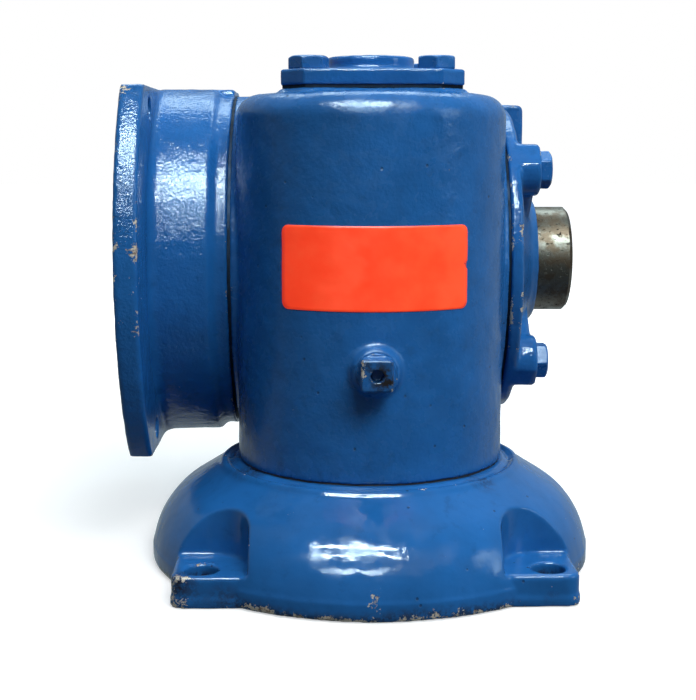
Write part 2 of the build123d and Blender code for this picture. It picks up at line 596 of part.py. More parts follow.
def tooth_profile():
    """Flank points of one wheel tooth: (radius, half angle in degrees), root first."""
    root_r, tip_r = WHEEL_PITCH_R - DEDENDUM, WHEEL_PITCH_R + ADDENDUM
    base_r = WHEEL_PITCH_R * cos(radians(FLANK_ANGLE))
    half_pitch = (AXIAL_PITCH / 2 - FLANK_CLEARANCE) / 2 / WHEEL_PITCH_R
    inv_pitch = tan(radians(FLANK_ANGLE)) - radians(FLANK_ANGLE)
    points = []
    for i in range(5):
        radius = root_r + (tip_r - root_r) * i / 4
        ratio = min(1.0, base_r / radius)
        roll = tan(acos(ratio)) - acos(ratio)
        points.append((radius, degrees(half_pitch + inv_pitch - roll)))
    return points


def wheel_rim():
    """Bronze rim with helical teeth cut to the worm's lead, pressed on the hub."""
    flank = tooth_profile()
    pitch = 360 / WHEEL_TEETH
    twist = degrees(WHEEL_FACE * AXIAL_PITCH / (2 * pi * WORM_PITCH_R) / WHEEL_PITCH_R)
    edges = []
    for tooth in range(WHEEL_TEETH):
        centre = 180 + pitch * (tooth + 0.5) - twist / 2
        rising = [polar(r, centre - a) for r, a in flank]
        falling = [polar(r, centre + a) for r, a in reversed(flank)]
        next_start = polar(flank[0][0], centre + pitch - flank[0][1])
        edges += [Polyline(*rising), Line(rising[-1], falling[0]), Polyline(*falling),
                  Line(falling[-1], next_start)]
    section = make_face(edges)
    rim = Solid.extrude_linear_with_rotation(section.face(), (0, 0, 0), (0, 0, WHEEL_FACE), twist)
    rim = Pos(0, 0, -WHEEL_FACE / 2) * rim
    rim -= ring_z(RIM_SEAT_R, 0, -WHEEL_FACE, WHEEL_FACE)
    turned = Plane(origin=(0, CENTRE_DISTANCE, WHEEL_Z), x_dir=(0, 1, 0), z_dir=(1, 0, 0))
    return turned * rim


def wheel_hub():
    """Cast hub between shaft and rim, with a thinner web and four lightening holes."""
    hub = turn_x(
        (-HUB_HALF, SHAFT_R), (-HUB_HALF, 31), (-9, 31), (-9, 36), (-WHEEL_FACE / 2, 36),
        (-WHEEL_FACE / 2, RIM_SEAT_R), (WHEEL_FACE / 2, RIM_SEAT_R), (WHEEL_FACE / 2, 36), (9, 36),
        (9, 31), (HUB_HALF, 31), (HUB_HALF, SHAFT_R))
    return hub - wheel_key_block(0)


def wheel_key_block(grow):
    """Key between shaft and hub, on top of the shaft."""
    return WHEEL_AXIS * Pos(0, 0, SHAFT_R + 0.2) * Box(36 + grow, 8 + grow, 6)


def output_shaft():
    """Hollow shaft with a keyway along its bore."""
    shaft = turn_x(
        (SHAFT_LEFT, 0), (SHAFT_LEFT, SHAFT_R - 1.2), (SHAFT_LEFT + 1.2, SHAFT_R),
        (SHAFT_RIGHT - 1.6, SHAFT_R), (SHAFT_RIGHT, SHAFT_R - 1.6), (SHAFT_RIGHT, 0))
    shaft -= ring_x(SHAFT_BORE_R, 0, SHAFT_LEFT - 1, SHAFT_RIGHT + 1)
    shaft -= WHEEL_AXIS * Pos(0, 0, -SHAFT_BORE_R) * Box(300, KEYWAY_W, 2 * KEYWAY_DEPTH)
    for side in (-1, 1):
        groove = OUTPUT_BEARING_X + OUTPUT_BEARING[2]
        shaft -= ring_x(SHAFT_R + 1, SHAFT_R - 1.2, *sorted((side * groove, side * (groove + 1.8))))
    return shaft - wheel_key_block(0)


def spacer(side):
    """Spacer tube between the wheel hub and a bearing cone."""
    return ring_x(30, SHAFT_R, *sorted((side * HUB_HALF, side * (OUTPUT_BEARING_X + 0.0))))


def snap_ring(side):
    """Snap ring that holds a bearing cone on the shaft."""
    low = OUTPUT_BEARING_X + OUTPUT_BEARING[2]
    ring = ring_x(SHAFT_R + 2.6, SHAFT_R - 1.2, *sorted((side * low, side * (low + 1.7))))
    return ring - WHEEL_AXIS * Pos(0, 0, SHAFT_R) * Box(200, 7, 12)


def sticker():
    """Plain rectangular sticker with rounded corners, wrapped on the front."""
    low, high = STICKER_Z
    half = BODY_R * sin(radians(STICKER_HALF_ANGLE))
    card = extrude(RectangleRounded(2 * half, high - low, 4.2), 40)
    card = Pos(0, -30, (low + high) / 2) * Rot(90, 0, 0) * card
    return ring_z(BODY_R + 0.28, BODY_R + 0.03, low - 1, high + 1) & card


# ---------------------------------------------------------------- write every piece

def all_parts():
    """Every piece by its file name, each at its place in the assembled gearbox."""
    upper_housing, lower_housing = housing()
    parts = {
        "housing": upper_housing,
        "housing_bearing_ring": lower_housing,
        "base": base(),
        "base_gasket": base_gasket(),
        "base_screws": base_screws(),
        "output_flange": output_flange(),
        "output_flange_shims": side_shims(LEFT_PAD_R - 1.5, -LEFT_PAD_X - SHIM, -LEFT_PAD_X),
        "output_flange_bolts": side_bolts(-LEFT_PAD_X - 10.5, 24),
        "output_cover": output_cover(),
        "output_cover_shims": side_shims(COVER_R - 1.8, RIGHT_PAD_X, COVER_X),
        "output_cover_bolts": side_bolts(COVER_BOSS_X, 30),
        "worm_cover": worm_cover(),
        "worm_cover_shims": worm_cover_shims(),
        "worm_cover_bolts": worm_cover_bolts(),
        "worm_shaft": worm_shaft(),
        "worm_wheel_rim": wheel_rim(),
        "worm_wheel_hub": wheel_hub(),
        "wheel_key": wheel_key_block(-0.1),
        "output_shaft": output_shaft(),
        "sticker": sticker(),
    }
    cup, cone, rollers, cage = tapered_bearing(*OUTPUT_BEARING)
    for name, side in (("left", -1), ("right", 1)):
        place = WHEEL_AXIS * Pos(side * OUTPUT_BEARING_X, 0, 0) * Rot(0, 90 * side, 0)
        parts[f"{name}_output_bearing_cup"] = place * cup
        parts[f"{name}_output_bearing_cone"] = place * cone
        parts[f"{name}_output_bearing_rollers"] = place * rollers
        parts[f"{name}_output_bearing_cage"] = place * cage
        seal_place = WHEEL_AXIS * Pos(side * OUTPUT_SEAL_X, 0, 0) * Rot(0, 90 * side, 0)
        parts[f"{name}_output_seal"] = seal_place * lip_seal(SHAFT_R, OUTPUT_SEAL_R, OUTPUT_SEAL_W)
        parts[f"{name}_spacer"] = spacer(side)
        parts[f"{name}_snap_ring"] = snap_ring(side)
    lower = Pos(0, 0, LOWER_BEARING_Z + LOWER_BEARING[2]) * Rot(180, 0, 0)
    upper = Pos(0, 0, UPPER_BEARING_Z)
    for name, place, size in (("upper", upper, UPPER_BEARING), ("lower", lower, LOWER_BEARING)):
        cup, cone, rollers, cage = tapered_bearing(*size)
        parts[f"{name}_worm_bearing_cup"] = place * cup
        parts[f"{name}_worm_bearing_cone"] = place * cone
        parts[f"{name}_worm_bearing_rollers"] = place * rollers
        parts[f"{name}_worm_bearing_cage"] = place * cage
    parts["input_seal"] = Pos(0, 0, BELL_TOP + 2) * lip_seal(QUILL_R, INPUT_SEAL_R, 7)
    nut_bottom = UPPER_BEARING_Z + UPPER_BEARING[2]
    parts["worm_locknut"] = ring_z(18, UPPER_SEAT_R + 0.05, nut_bottom, WORM_TOP - 1.5)
    parts["level_plug"] = Pos(PLUG_X, -PLUG_BOSS_Y, PLUG_Z) * Rot(90, 0, 0) * square_plug(14)
    parts["drain_plug"] = Pos(0, DRAIN_BOSS_Y, DRAIN_Z) * Rot(-90, 0, 0) * square_plug(14)
    parts["vent_plug"] = Pos(0, VENT_Y, VENT_BOSS_Z) * square_plug(12, 11, 7)
    return parts


if __name__ == "__main__":
    os.makedirs("parts", exist_ok=True)
    for name, shape in all_parts().items():
        export_step(shape, f"parts/{name}.step")
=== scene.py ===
"""Looks of the worm gearbox: painted castings, worn steel, a plain sticker, soft studio light."""
import json
import math

import bmesh
import bpy
import numpy as np
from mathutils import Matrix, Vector
from mathutils.bvhtree import BVHTree


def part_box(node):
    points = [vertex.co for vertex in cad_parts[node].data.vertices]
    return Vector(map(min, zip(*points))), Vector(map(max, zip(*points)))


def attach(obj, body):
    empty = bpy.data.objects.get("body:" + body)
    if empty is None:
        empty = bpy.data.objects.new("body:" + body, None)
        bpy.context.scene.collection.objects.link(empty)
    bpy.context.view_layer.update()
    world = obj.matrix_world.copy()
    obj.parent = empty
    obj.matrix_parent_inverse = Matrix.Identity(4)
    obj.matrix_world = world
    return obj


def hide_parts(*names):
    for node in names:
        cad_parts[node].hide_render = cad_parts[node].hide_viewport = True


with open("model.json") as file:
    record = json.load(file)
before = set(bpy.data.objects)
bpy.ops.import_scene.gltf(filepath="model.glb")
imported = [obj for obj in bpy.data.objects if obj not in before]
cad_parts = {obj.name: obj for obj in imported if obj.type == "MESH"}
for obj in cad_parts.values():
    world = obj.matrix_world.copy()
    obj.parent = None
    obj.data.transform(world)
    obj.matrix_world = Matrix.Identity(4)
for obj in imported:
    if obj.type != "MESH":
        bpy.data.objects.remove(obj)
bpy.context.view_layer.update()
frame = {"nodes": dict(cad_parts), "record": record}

MM = 0.001
RECORD = frame["record"]
BODY_OF = {node: body for body, nodes in RECORD["behaviour"]["bodies"].items() for node in nodes}
SLOT_OF = {part["node"]: part["material_slot"] for part in RECORD["subparts"]}


# ---------------------------------------------------------------- node helpers

class Graph:
    """Short way to write a material's nodes. Values are numbers, tuples or output sockets."""

    def __init__(self, name):
        self.material = bpy.data.materials.new(name)
        self.material.use_nodes = True
        self.tree = self.material.node_tree
        self.tree.nodes.clear()
        self.out = self.tree.nodes.new("ShaderNodeOutputMaterial")
        self.coords = self.tree.nodes.new("ShaderNodeTexCoord").outputs["Object"]

    def put(self, socket, value):
        """Link an output socket to a socket, or set it to a constant."""
        if isinstance(value, bpy.types.NodeSocket):
            self.tree.links.new(value, socket)
        elif isinstance(value, tuple) and len(value) == 3 and socket.type == "RGBA":
            socket.default_value = (*value, 1.0)
        else:
            socket.default_value = value

    def math(self, operation, a, b=0.0, clamp=False):
        """Arithmetic on two values."""
        node = self.tree.nodes.new("ShaderNodeMath")
        node.operation = operation
        node.use_clamp = clamp
        self.put(node.inputs[0], a)
        self.put(node.inputs[1], b)
        return node.outputs[0]

    def step(self, value, low, high, out_low=0.0, out_high=1.0):
        """Smooth ramp of value from low to high."""
        node = self.tree.nodes.new("ShaderNodeMapRange")
        node.interpolation_type = "SMOOTHSTEP"
        for key, item in (("Value", value), ("From Min", low), ("From Max", high),
                          ("To Min", out_low), ("To Max", out_high)):
            self.put(node.inputs[key], item)
        return node.outputs["Result"]

    def noise(self, size_mm, detail=3.0, rough=0.55, stretch=(1, 1, 1), shift=0.0, distort=0.0):
        """Noise with features of about size_mm."""
        place = self.tree.nodes.new("ShaderNodeMapping")
        self.put(place.inputs["Vector"], self.coords)
        place.inputs["Scale"].default_value = stretch
        place.inputs["Location"].default_value = (shift, shift * 0.7, shift * 1.3)
        node = self.tree.nodes.new("ShaderNodeTexNoise")
        self.put(node.inputs["Vector"], place.outputs[0])
        node.inputs["Scale"].default_value = 1.0 / (size_mm * MM)
        node.inputs["Detail"].default_value = detail
        node.inputs["Roughness"].default_value = rough
        node.inputs["Distortion"].default_value = distort
        return node.outputs["Fac"]

    def cells(self, size_mm):
        """Distance to the nearest of scattered points, about size_mm apart."""
        node = self.tree.nodes.new("ShaderNodeTexVoronoi")
        self.put(node.inputs["Vector"], self.coords)
        node.inputs["Scale"].default_value = 1.0 / (size_mm * MM)
        return node.outputs["Distance"]

    def attribute(self, name):
        """Value stored on the mesh's points; 0 where the mesh has none."""
        node = self.tree.nodes.new("ShaderNodeAttribute")
        node.attribute_name = name
        return node.outputs["Fac"]

    def mix(self, factor, a, b):
        """Colour from a at factor 0 to b at factor 1."""
        node = self.tree.nodes.new("ShaderNodeMix")
        node.data_type = "RGBA"
        self.put(node.inputs["Factor"], factor)
        self.put(node.inputs["A"], a)
        self.put(node.inputs["B"], b)
        return node.outputs["Result"]

    def bump(self, height, distance_mm, strength=1.0, normal=None):
        """Normal of a surface raised by height times distance_mm, on top of another normal if given."""
        node = self.tree.nodes.new("ShaderNodeBump")
        self.put(node.inputs["Height"], height)
        node.inputs["Distance"].default_value = distance_mm * MM
        node.inputs["Strength"].default_value = strength
        if normal is not None:
            self.put(node.inputs["Normal"], normal)
        return node.outputs["Normal"]

    def surface(self, **sockets):
        """Principled shader; keys are its socket names with underscores for spaces."""
        node = self.tree.nodes.new("ShaderNodeBsdfPrincipled")
        for key, value in sockets.items():
            self.put(node.inputs[key.replace("_", " ")], value)
        self.tree.links.new(node.outputs[0], self.out.inputs[0])
        return self.material


# ---------------------------------------------------------------- materials

def enamel(name, paint, grain, wave, rough, chips, pits=0.0, peel_mm=2.2):
    """Blue enamel over a sand casting: orange peel, lumps, chips to metal, real grime, and painted shade
    in hollows, pits and holes.

    grain and wave are bump depths in mm; chips scales how much paint is lost at edges, pits how
    dark the painted shade in the casting pits is, and peel_mm is the size of the orange peel.
    """
    g = Graph(name)
    peel = g.noise(peel_mm, 2.0, 0.5)
    lumps = g.noise(5.5, 2.5, 0.5, shift=3.0)
    fine = g.noise(0.7, 2.0, 0.6, shift=1.0)
    convex = g.attribute("convex")
    chip_zone = g.attribute("chip")
    grime_and_shade_zone = g.attribute("grime_and_shade")
    shade = g.noise(26, 3.0, 0.6, shift=5.0)
    dark = tuple(c * 0.88 for c in paint)
    light = tuple(min(1.0, c * 1.1) for c in paint)
    colour = g.mix(g.step(shade, 0.3, 0.7), dark, light)
    # Darker blue in patches: random speckle, plus painted shade in hollows where the surface lies below
    # its smoothed surroundings.
    speckle_and_hollow_shade = g.math("ADD", g.step(g.noise(5.0, 5.0, 0.65, shift=8.0), 0.52, 0.7, 0.0, 0.28),
                  g.step(convex, -0.05, -0.45, 0.0, 0.6))
    speckle_and_hollow_shade = g.math("MULTIPLY", speckle_and_hollow_shade, g.step(g.noise(14, 4.0, 0.6, shift=2.0), 0.4, 0.62), clamp=True)
    colour = g.mix(speckle_and_hollow_shade, colour, tuple(c * 0.28 for c in paint))
    spots = g.step(g.noise(3.0, 5.0, 0.7, shift=6.0), 0.38, 0.6, 0.2, 1.2)
    # Near black at the mesh's dark spots: real grime on the plug and a foot corner, painted shade in the
    # foot holes and on the ledge at the tower's foot.
    stain = g.math("MULTIPLY", grime_and_shade_zone, spots, clamp=True)
    colour = g.mix(stain, colour, (0.018, 0.014, 0.012))
    ragged = g.math("ADD", g.noise(1.1, 5.0, 0.65, shift=4.0), g.noise(6.0, 2.0, 0.5, shift=7.0))
    edge = g.math("ADD", g.math("MULTIPLY", convex, 0.55 * chips), chip_zone)
    bare = g.step(g.math("ADD", ragged, edge), 1.42, 1.45)
    rust = g.step(g.noise(2.4, 5.0, 0.7, shift=9.0), 0.48, 0.66)
    metal = g.mix(rust, (0.62, 0.56, 0.46), (0.12, 0.055, 0.025))
    primer = g.mix(g.step(g.math("ADD", ragged, edge), 1.395, 1.42), colour, (0.16, 0.20, 0.26))
    colour = g.mix(bare, primer, metal)
    # Painted shade: casting pits turned near black.
    pit_shade = g.step(g.cells(7.0), 0.11, 0.05)
    pit_shade = g.math("MULTIPLY", pit_shade, g.step(g.noise(20, 1.0, 0.5, shift=11.0), 0.56, 0.6))
    pit_shade = g.math("MULTIPLY", pit_shade, pits)
    colour = g.mix(pit_shade, colour, (0.01, 0.012, 0.02))
    normal = g.bump(lumps, wave)
    normal = g.bump(peel, grain, 1.0, normal)
    normal = g.bump(fine, 0.02, 0.6, normal)
    normal = g.bump(g.math("MULTIPLY", bare, -1.0), 0.18, 1.0, normal)
    normal = g.bump(g.math("MULTIPLY", pit_shade, -1.0), 0.3, 1.0, normal)
    gloss = g.step(g.noise(9, 3.0, 0.6, shift=12.0), 0.35, 0.7, rough, rough + 0.14)
    gloss = g.math("ADD", gloss, g.math("MULTIPLY", bare, 0.3))
    return g.surface(Base_Color=colour, Roughness=gloss, Normal=normal, IOR=1.47)


def steel(name, base, rough, scratch=(1, 1, 1), stain=0.0, stain_colour=(0.12, 0.07, 0.04)):
    """Machined steel with fine tool marks and, if asked, brown tarnish."""
    g = Graph(name)
    marks = g.noise(0.5, 3.0, 0.6, stretch=scratch)
    cloud = g.noise(7.0, 5.0, 0.65, shift=2.0)
    dark = tuple(c * 0.62 for c in base)
    colour = g.mix(g.step(marks, 0.3, 0.7), dark, base)
    tarnish = g.math("MULTIPLY", g.step(cloud, 0.4, 0.62), stain)
    colour = g.mix(tarnish, colour, stain_colour)
    spots = g.math("MULTIPLY", g.step(g.noise(1.8, 5.0, 0.7, shift=5.0), 0.58, 0.64), stain)
    colour = g.mix(spots, colour, (0.03, 0.022, 0.016))
    gloss = g.math("ADD", g.step(cloud, 0.3, 0.7, rough, rough + 0.18), g.math("MULTIPLY", spots, 0.3))
    normal = g.bump(marks, 0.03, 0.8)
    normal = g.bump(g.math("MULTIPLY", spots, -1.0), 0.08, 1.0, normal)
    return g.surface(Base_Color=colour, Roughness=gloss, Metallic=1.0, Normal=normal)


def iron(name):
    """Bare machined cast iron."""
    g = Graph(name)
    grain = g.noise(0.6, 4.0, 0.7)
    colour = g.mix(g.step(grain, 0.35, 0.7), (0.07, 0.07, 0.072), (0.17, 0.165, 0.16))
    return g.surface(Base_Color=colour, Roughness=g.step(grain, 0.3, 0.7, 0.35, 0.6),
                     Metallic=0.85, Normal=g.bump(grain, 0.06))


def bronze(name):
    """Turned bronze, a little clouded."""
    g = Graph(name)
    marks = g.noise(0.8, 3.0, 0.6, stretch=(4, 1, 1))
    cloud = g.noise(9.0, 4.0, 0.6, shift=3.0)
    colour = g.mix(g.step(cloud, 0.35, 0.7), (0.62, 0.40, 0.17), (0.42, 0.24, 0.09))
    return g.surface(Base_Color=colour, Roughness=g.step(marks, 0.3, 0.7, 0.2, 0.4),
                     Metallic=1.0, Normal=g.bump(marks, 0.03))


def rubber(name):
    """Black nitrile."""
    g = Graph(name)
    grain = g.noise(0.4, 3.0, 0.6)
    colour = g.mix(g.step(grain, 0.3, 0.7), (0.012, 0.012, 0.013), (0.03, 0.03, 0.032))
    return g.surface(Base_Color=colour, Roughness=0.55, Normal=g.bump(grain, 0.03))


def paper(name):
    """Dark oiled gasket paper."""
    g = Graph(name)
    fibre = g.noise(0.7, 5.0, 0.7, stretch=(1, 1, 3))
    colour = g.mix(g.step(fibre, 0.3, 0.7), (0.010, 0.012, 0.018), (0.03, 0.03, 0.035))
    return g.surface(Base_Color=colour, Roughness=0.75, Normal=g.bump(fibre, 0.04))


def vinyl(name):
    """Orange vinyl: slight fading, scuffs at the corners and a smear of dirt, no print; it also glows
    orange, painted light that makes it brighter than the lamps do.
    """
    g = Graph(name)
    wear = g.attribute("chip")
    fade = g.noise(18, 3.0, 0.6)
    colour = g.mix(g.step(fade, 0.35, 0.65), (0.93, 0.060, 0.012), (1.0, 0.095, 0.022))
    dust = g.step(g.noise(1.2, 5.0, 0.7, shift=3.0), 0.6, 0.72, 0.0, 0.35)
    colour = g.mix(dust, colour, (0.45, 0.05, 0.02))
    scuff = g.step(g.math("ADD", g.noise(1.6, 5.0, 0.7, shift=5.0), wear), 1.05, 1.12)
    colour = g.mix(scuff, colour, (0.03, 0.03, 0.045))
    normal = g.bump(g.noise(5.0, 2.0, 0.5, shift=7.0), 0.12)
    normal = g.bump(g.noise(0.9, 2.0, 0.5, shift=9.0), 0.02, 1.0, normal)
    # The orange emission is painted light: the sticker glows brighter than its lighting makes it.
    return g.surface(Base_Color=colour, Roughness=g.step(fade, 0.3, 0.7, 0.34, 0.46), Normal=normal,
                     IOR=1.46, Emission_Color=(1.0, 0.045, 0.012), Emission_Strength=0.52)


BLUE = (0.014, 0.120, 0.370)

# The record's slot gives each piece's material, and the castings have one enamel for each kind of surface.
MATERIALS = {
    "tower": enamel("enamel_tower", BLUE, 0.13, 0.14, 0.20, 0.9, 0.6, peel_mm=1.4),
    "dome": enamel("enamel_dome", BLUE, 0.035, 0.12, 0.09, 1.5, 0.6),
    "drum": enamel("enamel_drum", BLUE, 0.24, 0.20, 0.09, 1.25, peel_mm=1.3),
    "cover": enamel("enamel_cover", BLUE, 0.14, 0.26, 0.11, 1.4, peel_mm=1.5),
    "fastener": enamel("enamel_fastener", BLUE, 0.04, 0.06, 0.2, 1.6),
    "gasket": paper("oiled_paper"),
    "screw_steel": steel("screw_steel", (0.35, 0.35, 0.36), 0.3, stain=0.3),
    "shim_steel": steel("shim_steel", (0.02, 0.03, 0.05), 0.5, stain=0.5,
                        stain_colour=(0.008, 0.01, 0.014)),
    "hardened_steel": steel("hardened_steel", (0.52, 0.52, 0.54), 0.22, scratch=(1, 1, 5)),
    "shaft_steel": steel("shaft_steel", (0.27, 0.235, 0.19), 0.30, scratch=(6, 1, 1), stain=0.8),
    "bearing_steel": steel("bearing_steel", (0.65, 0.65, 0.67), 0.12),
    "cage_steel": steel("cage_steel", (0.48, 0.44, 0.36), 0.3),
    "spring_steel": steel("spring_steel", (0.2, 0.2, 0.24), 0.3),
    "bronze": bronze("bronze_rim"),
    "hub_iron": iron("hub_iron"),
    "seal_rubber": rubber("nitrile"),
    "sticker": vinyl("orange_vinyl"),
}


# ---------------------------------------------------------------- mesh helpers

def new_object(name, mesh):
    """Object in the scene's own collection."""
    obj = bpy.data.objects.new(name, mesh)
    bpy.context.scene.collection.objects.link(obj)
    return obj


def clouds(name, size_mm):
    """Soft noise texture for displacing a mesh."""
    texture = bpy.data.textures.new(name, "CLOUDS")
    texture.noise_scale = size_mm * MM
    texture.noise_depth = 2
    return texture


def read(mesh, attribute):
    """Vertex places ("co") or normals ("normal") as rows of three."""
    data = np.empty(len(mesh.vertices) * 3, np.float64)
    mesh.vertices.foreach_get(attribute, data)
    return data.reshape(-1, 3)


def convexity(mesh, rounds):
    """How far each point stands out of its smoothed surroundings, in mm; negative in a hollow."""
    places = read(mesh, "co")
    normals = read(mesh, "normal")
    pairs = np.empty(len(mesh.edges) * 2, np.int64)
    mesh.edges.foreach_get("vertices", pairs)
    a, b = pairs.reshape(-1, 2).T
    count = np.bincount(np.concatenate((a, b)), minlength=len(places))[:, None] + 1e-9
    smooth = places.copy()
    for _ in range(rounds):
        total = np.empty_like(smooth)
        for axis in range(3):
            total[:, axis] = (np.bincount(a, smooth[b, axis], len(places))
                              + np.bincount(b, smooth[a, axis], len(places)))
        smooth = (smooth + total / count) / 2
    return ((places - smooth) * normals).sum(1) / MM


def write_attribute(mesh, name, values):
    """Store one value for each vertex, for a material to read."""
    layer = mesh.attributes.new(name, "FLOAT", "POINT")
    layer.data.foreach_set("value", np.asarray(values, np.float32))


def blobs(places, spots):
    """Sum of soft round spots: (x, y, z, radius, strength), all in mm."""
    total = np.zeros(len(places))
    for x, y, z, radius, strength in spots:
        gap = np.linalg.norm(places / MM - (x, y, z), axis=1) / radius
        total += strength * np.clip(1 - gap, 0, 1)
    return total


FUSE_MM = 0.6
EDGE_REACH_MM = 5


def painted_copy(node, material, voxel_mm, rounds, waves, chips=(), grime_and_shade=(), joined=None):
    """Dense soft-edged copy of a CAD node, as thick paint leaves it, standing for the node.

    waves are (size, depth) pairs in mm for the unevenness. joined names a second node of the same
    casting; its top is raised a little so the two fuse.
    """
    mesh = frame["nodes"][node].data.copy()
    build = bmesh.new()
    build.from_mesh(mesh)
    if joined:
        first = len(build.verts)
        build.from_mesh(frame["nodes"][joined].data)
        build.verts.ensure_lookup_table()
        added = build.verts[first:]
        top = max(v.co.z for v in added)
        for v in added:
            if v.co.z > top - 0.05 * MM:
                v.co.z += FUSE_MM * MM
    bmesh.ops.remove_doubles(build, verts=build.verts, dist=1e-6)
    build.to_mesh(mesh)
    build.free()
    obj = new_object(node + "_painted", mesh)
    remesh = obj.modifiers.new("remesh", "REMESH")
    remesh.mode = "VOXEL"
    remesh.voxel_size = voxel_mm * MM
    remesh.adaptivity = 0.0
    soften = obj.modifiers.new("soften", "SMOOTH")
    soften.factor = 0.5
    soften.iterations = rounds
    for size_mm, depth_mm in waves:
        lump = obj.modifiers.new("lump", "DISPLACE")
        lump.texture = clouds(f"{node}_{size_mm}", size_mm)
        lump.texture_coords = "LOCAL"
        lump.mid_level = 0.5
        lump.strength = depth_mm * MM
    bpy.context.view_layer.update()
    graph = bpy.context.evaluated_depsgraph_get()
    final = bpy.data.meshes.new_from_object(obj.evaluated_get(graph))
    obj.modifiers.clear()
    obj.data = final
    final.materials.clear()
    final.materials.append(MATERIALS[material])
    final.polygons.foreach_set("use_smooth", np.ones(len(final.polygons), bool))
    places = read(final, "co")
    write_attribute(final, "convex", convexity(final, int(round(EDGE_REACH_MM / voxel_mm))))
    write_attribute(final, "chip", blobs(places, chips))
    write_attribute(final, "grime_and_shade", blobs(places, grime_and_shade))
    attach(obj, BODY_OF[node])
    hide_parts(*([node, joined] if joined else [node]))
    return obj


# ---------------------------------------------------------------- castings and fasteners

CASTINGS = {
    "housing": dict(material="tower", voxel_mm=1.0, rounds=2, waves=((16, 0.5), (5, 0.25)),
                    joined="housing_bearing_ring"),
    "base": dict(material="dome", voxel_mm=0.8, rounds=2, waves=((18, 0.5), (6, 0.12))),
    "output_flange": dict(material="drum", voxel_mm=1.0, rounds=2, waves=((14, 0.5), (4.5, 0.25))),
    "output_cover": dict(material="cover", voxel_mm=0.9, rounds=2, waves=((9, 0.4), (4, 0.2))),
    "worm_cover": dict(material="cover", voxel_mm=0.6, rounds=2, waves=((9, 0.25), (3, 0.12))),
    "worm_cover_bolts": dict(material="fastener", voxel_mm=0.35, rounds=2, waves=((3, 0.12),)),
    "output_cover_bolts": dict(material="fastener", voxel_mm=0.35, rounds=2, waves=((3, 0.12),)),
    "level_plug": dict(material="fastener", voxel_mm=0.3, rounds=2, waves=((4, 0.15),)),
    "drain_plug": dict(material="fastener", voxel_mm=0.35, rounds=2, waves=((4, 0.15),)),
    "vent_plug": dict(material="fastener", voxel_mm=0.35, rounds=2, waves=((4, 0.15),)),
}

# Soft round spots as (x, y, z, radius, strength), in mm. CHIPS lose paint. The dark spots turn the paint
# near black:
# real grime on the level plug and the left foot's corner, painted shade in the foot holes and on the ledge
# at the tower's foot, and darker patches along the bottom rim and low on the tower's sides.
RIM_R = 96
RIM = [(RIM_R * math.sin(a), -RIM_R * math.cos(a), 1.5 + math.sin(7 * a))
       for a in np.arange(-1.2, 1.3, 0.05)]
CHIPS = {
    "base": [(-79, -79, 10, 12, 0.24), (79, -79, 10, 9, 0.15), (79, -79, 2, 14, 0.3),
             (-79, -79, 2, 16, 0.3), (0, -95.5, 9, 7, 0.45), (-1, -93, 12, 5, 0.3)]
            + [(*place, 4.5, 0.36) for place in RIM],
    "output_flange": [(-104.7, -16, 203, 10, 0.3), (-104.7, -38, 178, 8, 0.2),
                      (-104.7, -14, 44, 16, 0.25), (-94, -46, 138, 20, 0.3),
                      (-94, -44, 108, 16, 0.22), (-104.7, -46, 118, 16, 0.15)],
    "output_cover": [(66, 4, 140, 12, 0.45), (66, 0, 108, 14, 0.3)],
    "level_plug": [(-6, -72, 94, 8, 0.55), (6, -72, 88, 7, 0.3)],
}
GRIME_AND_SHADE = {
    "level_plug": [(5, -72, 89, 9, 1.5), (-3, -72, 95, 7, 1.0), (-3, -70, 84, 6, 0.5)],
    # Base: painted shade on the ledge at the tower's foot, then real grime at the left foot's corner.
    "base": [(44, -46, 43, 9, 0.7), (-50, -30, 43, 12, 0.8), (-78, -78, 9, 12, 0.9),
             (-60, -80, 3, 9, 0.6)]
            # Painted shade inside the foot holes.
            + [(x, -69, 2, 11, 4.0) for x in (-69, 69)]
            # Darker patches along the bottom rim.
            + [(*place, 4.0, 0.75) for place in RIM],
    # Darker patches low on the tower's sides, stronger on the left.
    "housing": [(57, -5, 60, 16, 0.4), (-57, -10, 60, 26, 0.9)],
}
for node, settings in CASTINGS.items():
    painted_copy(node, **settings, chips=CHIPS.get(node, ()), grime_and_shade=GRIME_AND_SHADE.get(node, ()))


def rounded_outline(half_w, half_h, corner, steps=7):
    """Points of a rounded rectangle, anticlockwise."""
    points = []
    for sx, sy, start in ((1, 1, 0), (-1, 1, 90), (-1, -1, 180), (1, -1, 270)):
        for i in range(steps + 1):
            a = math.radians(start + 90 * i / steps)
            points.append(((half_w - corner) * sx + corner * math.cos(a),
                           (half_h - corner) * sy + corner * math.sin(a)))
    dense = []
    for (x0, y0), (x1, y1) in zip(points, points[1:] + points[:1]):
        count = max(1, int(math.hypot(x1 - x0, y1 - y0) / 1.2))
        dense += [(x0 + (x1 - x0) * i / count, y0 + (y1 - y0) * i / count) for i in range(count)]
    return dense


